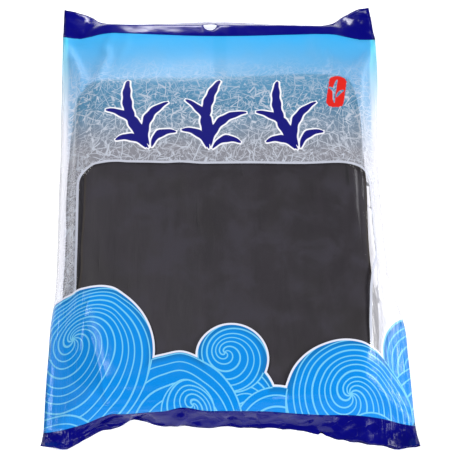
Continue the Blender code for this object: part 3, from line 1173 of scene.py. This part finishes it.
def kelp_material(colours):
    material, tree = new_material("dried_kelp")
    place = tree.output(tree.node("ShaderNodeTexCoord"), "Object")
    u, v, _ = tree.split(tree.output(tree.node("ShaderNodeUVMap", uv_map="sheet")))
    rim = tree.highest(abs(u), abs(v))
    streaks = tree.noise(place * (80.0, 15.0, 20.0), 1.0, 4.0, 0.55, 0.6)
    sheen_blotch = tree.noise(place, 34.0, 4.0, 0.55, 0.4)
    tint = tree.noise(place + (3.0, 1.0, 0.0), 15.0, 3.0)
    # folds: short dark strokes, pressed in by the bump and darkened in colour as painted shade
    fold = tree.noise(place * (110.0, 13.0, 10.0), 1.0, 2.0, 0.5, 0.2)
    fold = tree.span(fold, 0.62, 0.74) * tree.span(tint, 0.46, 0.58)
    dark, light = ([share * part for part in colours.blade] for share in (0.86, 1.10))
    colour = tree.mix(tree.span(streaks, 0.35, 0.68), dark, light)
    # the lilac-grey patches are a painted sheen: the film's reflection painted into the sheet's
    # colour
    for share, shade in ((tree.span(sheen_blotch, 0.44, 0.66, 0.0, 0.7), ink(48, 44, 54)),
                         (tree.span(tint, 0.44, 0.64, 0.0, 0.6), ink(33, 29, 29)),
                         # painted shade in the folds
                         (fold * 0.85, ink(12, 10, 15)),
                         (tree.span(rim, 0.975, 1.0), colours.rim)):
        colour = tree.mix(share, colour, shade)
    cling = tree.noise(place * (60.0, 18.0, 20.0), 1.0, 2.0, 0.5, 0.3)
    tree.fill(tree.nodes["Principled BSDF"], {
        "Base Color": colour,
        "Roughness": tree.span(sheen_blotch, 0.3, 0.7, 0.50, 0.68),
        "Normal": tree.bump(streaks - fold, 0.5, 0.0008),
        # the clear film pressed on the sheet
        "Coat Weight": tree.span(rim, 0.95, 0.91),
        "Coat Normal": tree.bump(cling, 0.4, 0.0010),
        "Coat IOR": FILM_IOR,
        "Coat Roughness": 0.14,
    })
    return material


# ---------------------------------------------------------------- the kelp sheets


def uneven(seed, place):
    """Smooth noise from -1 to 1 along a sheet's edge."""
    return noise.noise(Vector((seed * 7.31 + 0.37, place, seed * 1.7)))


def sheet_place(u, v, seed, box):
    """Plan position of a point of a sheet, u and v from -1 to 1, with uneven edges and
    worn corners."""
    sides, (foot, head) = box
    y = foot + (head - foot) * 0.5 * (v + 1.0)
    left, right = sides(y, v)
    x = left + (right - left) * 0.5 * (u + 1.0)
    corner = (abs(u) * abs(v)) ** 7
    x -= math.copysign(1.0, u) * abs(u) ** 5 * 0.0012 * (
        1.0 + uneven(seed, 3.1 * v + (9.0 if u > 0 else 0.0)))
    y += abs(v) ** 5 * uneven(seed + 40, 3.3 * u + (9.0 if v > 0 else 0.0)) * 0.0030
    pull = 0.009 * corner * (1.0 + 0.6 * uneven(seed + 80, u * 2.0 + v))
    return x - math.copysign(pull, u), y - math.copysign(pull, v)


def room_beside(film, y, height, side):
    """How far out from the bag's middle the film leaves room at some height."""
    room = 1.0
    for lift in (-0.0014, 0.0, 0.0008):
        for shift in (-0.004, 0.0, 0.004):
            start = Vector((0.0, y + CENTRE_SHIFT + shift, height + lift))
            hit = film.ray_cast(start, Vector((side, 0.0, 0.0)))[0]
            if hit is not None:
                room = min(room, abs(hit.x))
    return room - SHEET_CLEARANCE


def add_kelp_sheet(bm, columns, rows, seed, box, height, thickness):
    """One closed sheet: a grid laid on height(x, y, u, v), given its thickness downwards."""
    sheet_map = bm.loops.layers.uv.get("sheet") or bm.loops.layers.uv.new("sheet")
    verts = bmesh.ops.create_grid(bm, x_segments=columns, y_segments=rows, size=1.0)["verts"]
    faces = faces_of(verts)
    write_map(faces, sheet_map, lambda vert: vert.co.xy)
    under = extruded_verts(bm, faces, keep=True)
    for group, drop in ((verts, 0.0), (under, thickness)):
        for vert in group:
            u, v = vert.co.x, vert.co.y
            x, y = sheet_place(u, v, seed, box)
            vert.co = (x, y + CENTRE_SHIFT, height(x, y, u, v) - drop)
    for face in faces_of(under):
        for loop in face.loops:
            if loop[sheet_map].uv.length == 0.0:
                loop[sheet_map].uv = (1.0, 1.0)


def right_edge(v):
    """Where the sheets end at the right; the film stands clear of them in the lower half."""
    return STACK_RIGHT - RIGHT_GAP + 0.0035 * ease(-0.2, 0.3, v)


def stacked_sheets(settings, film):
    """The pressed stack; sheets level with the side folds push out into them."""
    bm = bmesh.new()
    for index in range(settings.sheets):
        share = (index + 0.6) / settings.sheets

        def height(x, y, u, v, share=share, index=index):
            top = stack_height(x, y) - 0.0016
            wave = 0.00016 * noise.noise(Vector((x * 60, y * 30, index * 3.3)))
            return max(LOWEST_SHEET + (top - LOWEST_SHEET) * share + wave, 0.0014)

        def sides(y, v, height=height, index=index):
            room = room_beside(film, y, height(STACK_LEFT, y, -1.0, v), -1.0)
            wanted = SHEET_REACH * (0.75 + 0.25 * uneven(index + 20, 2.0 * v)) - STACK_LEFT
            right = right_edge(v) + 0.0040 * ease(-0.32, -0.5, v) * ease(-0.9, -0.75, v)
            right += 0.0012 * uneven(index, 2.0 * v)
            limit = room_beside(film, y, height(STACK_RIGHT, y, 1.0, v), 1.0)
            return -min(room, wanted), min(right, limit)

        ends = (STACK_FOOT + 0.0020 + DRIFT * uneven(index, 9.7),
                STACK_HEAD - 0.0020 + DRIFT * uneven(index, 15.1))
        add_kelp_sheet(bm, 26, 28, index, (sides, ends), height,
                       PRESSED_THICKNESS * settings.thickness / SHEET_THICKNESS)
    bmesh.ops.recalc_face_normals(bm, faces=bm.faces)
    return bm


def top_sheet(settings):
    """The sheet seen through the window: soft wrinkles, and its edges drawn in."""
    bm = bmesh.new()
    ends = (STACK_FOOT + 0.004, STACK_HEAD - 0.003)

    def sides(y, v):
        return (STACK_LEFT + 0.0085 + 0.0030 * uneven(7, 4.0 * v),
                right_edge(v) + 0.0012 * uneven(8, 3.0 * v))

    def height(x, y, u, v):
        top = stack_height(x, y) - 0.0005
        long_wrinkle = noise.noise(Vector((x * 55, y * 21, 4.0)))
        fine_wrinkle = noise.noise(Vector((x * 210, y * 40, 9.0)))
        lift = 0.0005 * ease(0.9, 1.0, abs(u)) * uneven(5, v * 4.0)
        return top + 0.00030 * long_wrinkle + 0.00010 * fine_wrinkle + lift - 0.0002

    add_kelp_sheet(bm, 112, 118, 131, (sides, ends), height, settings.thickness)
    bmesh.ops.recalc_face_normals(bm, faces=bm.faces)
    return bm


# ---------------------------------------------------------------- operators


def film_surface(context):
    """The settled film, and its surface to measure against."""
    film = bpy.data.objects.get("bag_film")
    if film is None:
        raise RuntimeError("the bag film has to be made first")
    return film, BVHTree.FromObject(film, context.evaluated_depsgraph_get())


class MakeKelpSheets(bpy.types.Operator):
    """Makes the pressed stack of dried sheets and the wrinkled sheet on top of it"""

    bl_idname = "kelp_pack.make_sheets"
    bl_label = "Make Kelp Sheets"

    def execute(self, context):
        _, surface = film_surface(context)
        settings = context.scene.kelp_sheets
        material = kelp_material(settings)
        for name, bm in (("kelp_sheets", stacked_sheets(settings, surface)),
                         ("kelp_top_sheet", top_sheet(settings))):
            piece = finish_piece(bm, name, material)
            piece.data.set_sharp_from_angle(angle=math.radians(50))
            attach(piece, "root")
        return {"FINISHED"}


class MakeBagFilm(bpy.types.Operator):
    """Makes the sealed film bag, settled over the stack, with its hang hole and tear notch"""

    bl_idname = "kelp_pack.make_film"
    bl_label = "Make Bag Film"

    def execute(self, context):
        settings = context.scene.kelp_film
        shell = film_shell(settings)
        bmesh.ops.scale(shell, vec=(SIM_SCALE,) * 3, verts=shell.verts)
        film = finish_piece(shell, "bag_film", film_material(context.scene.kelp_print))
        places = settle_film(film, settings)
        for vert, place in zip(film.data.vertices, places):
            x, y, z = place / SIM_SCALE
            vert.co = (x, y + CENTRE_SHIFT, max(z, LOWEST_FILM))
        bm = bmesh.new()
        bm.from_mesh(film.data)
        flat = (bm.verts.layers.float["across"], bm.verts.layers.float["along"])
        punch_hang_hole(bm, flat)
        cut_tear_notch(bm, flat)
        bmesh.ops.recalc_face_normals(bm, faces=bm.faces)
        bm.to_mesh(film.data)
        bm.free()
        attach(film, "root")
        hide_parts("kelp_pack")
        return {"FINISHED"}


class MakeBackSeam(bpy.types.Operator):
    """Makes the lapped seam that runs down the middle of the back"""

    bl_idname = "kelp_pack.make_seam"
    bl_label = "Make Back Seam"

    def execute(self, context):
        film, surface = film_surface(context)
        settings = context.scene.kelp_film
        bm = bmesh.new()
        print_map = bm.loops.layers.uv.new("print")
        verts = bmesh.ops.create_grid(
            bm, x_segments=4, y_segments=settings.panel_rows, size=1.0)["verts"]
        write_map(bm.faces, print_map, lambda vert: (
            BACK_OFFSET + SEAM_HALF_WIDTH * vert.co.x,
            0.5 * (vert.co.y + 1.0) * PANEL_LENGTH))
        fin_y, head_y = fin_point(0.0, 0.0)[0], header_point(0.0, 0.0)[0]
        for vert in verts:
            lap = 0.5 * (vert.co.x + 1.0)
            share = 0.002 + 0.996 * 0.5 * (vert.co.y + 1.0)
            x = SEAM_HALF_WIDTH * vert.co.x
            y = fin_y + (head_y - fin_y) * share + CENTRE_SHIFT
            hit = surface.ray_cast(Vector((x, y, -0.05)), Vector((0.0, 0.0, 1.0)))[0]
            if hit is None:
                raise RuntimeError("the back seam runs off the film")
            gap = SEAM_GAP + LAP_GAP * lap
            vert.co = (x, y, max(hit.z - gap, LOWEST_SEAM))
        lower = extruded_verts(bm, bm.faces[:], keep=True)
        bmesh.ops.translate(bm, vec=(0.0, 0.0, -settings.seam_thickness), verts=lower)
        for vert in lower:
            vert.co.z = max(vert.co.z, SEAM_GAP)
        bmesh.ops.recalc_face_normals(bm, faces=bm.faces)
        piece = finish_piece(bm, "back_seam", film.data.materials[0])
        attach(piece, "root")
        return {"FINISHED"}


# name, bearing from +X and height in degrees, distance, width, height, power, colour
LAMPS = (
    ("key_softbox", -32, 30, 1.40, 0.60, 0.60, 10.5, (1.0, 0.995, 0.99)),
    ("top_softbox", 190, 61, 1.40, 0.60, 0.60, 11.5, (0.99, 0.99, 1.0)),
    ("right_card", 36, 44, 1.30, 0.18, 0.18, 0.6, (1.0, 1.0, 1.0)),
    ("side_card", 4, 24, 1.30, 0.26, 0.26, 4.6, (0.98, 0.98, 1.0)),
    ("left_card", 146, 44, 1.30, 0.16, 0.16, 0.6, (1.0, 1.0, 1.0)),
    ("front_strip", -92, 9, 1.45, 1.10, 0.10, 2.4, (0.95, 0.94, 1.0)),
    ("ear_card", 96, 16, 0.50, 0.12, 0.08, 0.80, (0.98, 0.97, 1.0)),
)
CAMERA_PLACE = (-0.009, -0.3767, 0.819)
CAMERA_DOWN = 66.0
CAMERA_TURN = 1.47
WHITE = (1.0, 1.0, 1.0)


class MakeStage(bpy.types.Operator):
    """Makes the floor, the soft lights and the camera"""

    bl_idname = "kelp_pack.make_stage"
    bl_label = "Make Stage"

    def execute(self, context):
        scene = context.scene
        settings = scene.kelp_stage
        material, tree = new_material("floor_paper")
        place = tree.output(tree.node("ShaderNodeTexCoord"), "Object")
        cloud = tree.span(tree.noise(place, 3.0), 0.3, 0.7)
        darker = [0.985 * part for part in settings.floor]
        tree.fill(tree.nodes["Principled BSDF"], {
            "Base Color": tree.mix(cloud, darker, settings.floor),
            "Roughness": 0.9, "Specular IOR Level": 0.1,
            "Emission Color": WHITE, "Emission Strength": settings.glow})
        bm = bmesh.new()
        bmesh.ops.create_grid(bm, x_segments=8, y_segments=8, size=3.0)
        finish_piece(bm, "floor", material)

        # pale behind the pack to the camera, and dim in what the film mirrors
        scene.world = bpy.data.worlds.new("even_light")
        scene.world.use_nodes = True
        tree = Tree(scene.world.node_tree)
        seen = tree.output(tree.node("ShaderNodeLightPath"), "Is Camera Ray")
        tree.fill(tree.nodes["Background"], {
            "Color": WHITE, "Strength": tree.blend(seen, settings.surround, 1.0)})

        for name, bearing, elevation, distance, width, height, power, colour in LAMPS:
            lamp = bpy.data.lights.new(name, "AREA")
            lamp.shape = "RECTANGLE"
            lamp.size, lamp.size_y = width, height
            lamp.energy, lamp.color = power, colour
            turned, raised = math.radians(bearing), math.radians(elevation)
            outward = Vector((math.cos(turned) * math.cos(raised),
                              math.sin(turned) * math.cos(raised), math.sin(raised)))
            holder = link_object(name, lamp)
            holder.location = distance * outward
            holder.rotation_euler = (-outward).to_track_quat("-Z", "Y").to_euler()

        camera = bpy.data.cameras.new("camera")
        camera.sensor_width = 36.0
        camera.lens = settings.lens
        camera.clip_start, camera.clip_end = 0.01, 20.0
        scene.camera = link_object("camera", camera)
        scene.camera.location = CAMERA_PLACE
        down, turn = math.radians(CAMERA_DOWN), math.radians(CAMERA_TURN)
        scene.camera.rotation_euler = (0.5 * math.pi - down, 0.0, -turn)
        scene.view_settings.view_transform = "Standard"
        return {"FINISHED"}


class KelpPackPanel(bpy.types.Panel):
    """Lists the pieces of the pack and their settings"""

    bl_idname = "VIEW3D_PT_kelp_pack"
    bl_label = "Kelp Pack"
    bl_space_type = "VIEW_3D"
    bl_region_type = "UI"
    bl_category = "Kelp Pack"

    def draw(self, context):
        for operator, groups in STEPS:
            box = self.layout.box()
            box.operator(operator.bl_idname)
            for group in groups:
                settings = getattr(context.scene, group)
                for name in settings.__annotations__:
                    box.prop(settings, name)


# each step's operator, and the settings shown under it
STEPS = (
    (MakeBagFilm, ("kelp_film", "kelp_print")),
    (MakeBackSeam, ()),
    (MakeKelpSheets, ("kelp_sheets",)),
    (MakeStage, ("kelp_stage",)),
)
GROUPS = (
    (FilmSettings, "kelp_film"),
    (PrintSettings, "kelp_print"),
    (KelpSettings, "kelp_sheets"),
    (StageSettings, "kelp_stage"),
)


def register():
    for settings, name in GROUPS:
        bpy.utils.register_class(settings)
        setattr(bpy.types.Scene, name, bpy.props.PointerProperty(type=settings))
    for operator, _ in STEPS:
        bpy.utils.register_class(operator)
    bpy.utils.register_class(KelpPackPanel)


def unregister():
    bpy.utils.unregister_class(KelpPackPanel)
    for operator, _ in reversed(STEPS):
        bpy.utils.unregister_class(operator)
    for settings, name in reversed(GROUPS):
        delattr(bpy.types.Scene, name)
        bpy.utils.unregister_class(settings)


def main():
    register()
    bpy.ops.kelp_pack.make_film()
    bpy.ops.kelp_pack.make_seam()
    bpy.ops.kelp_pack.make_sheets()
    bpy.ops.kelp_pack.make_stage()


if __name__ == "__main__":
    main()
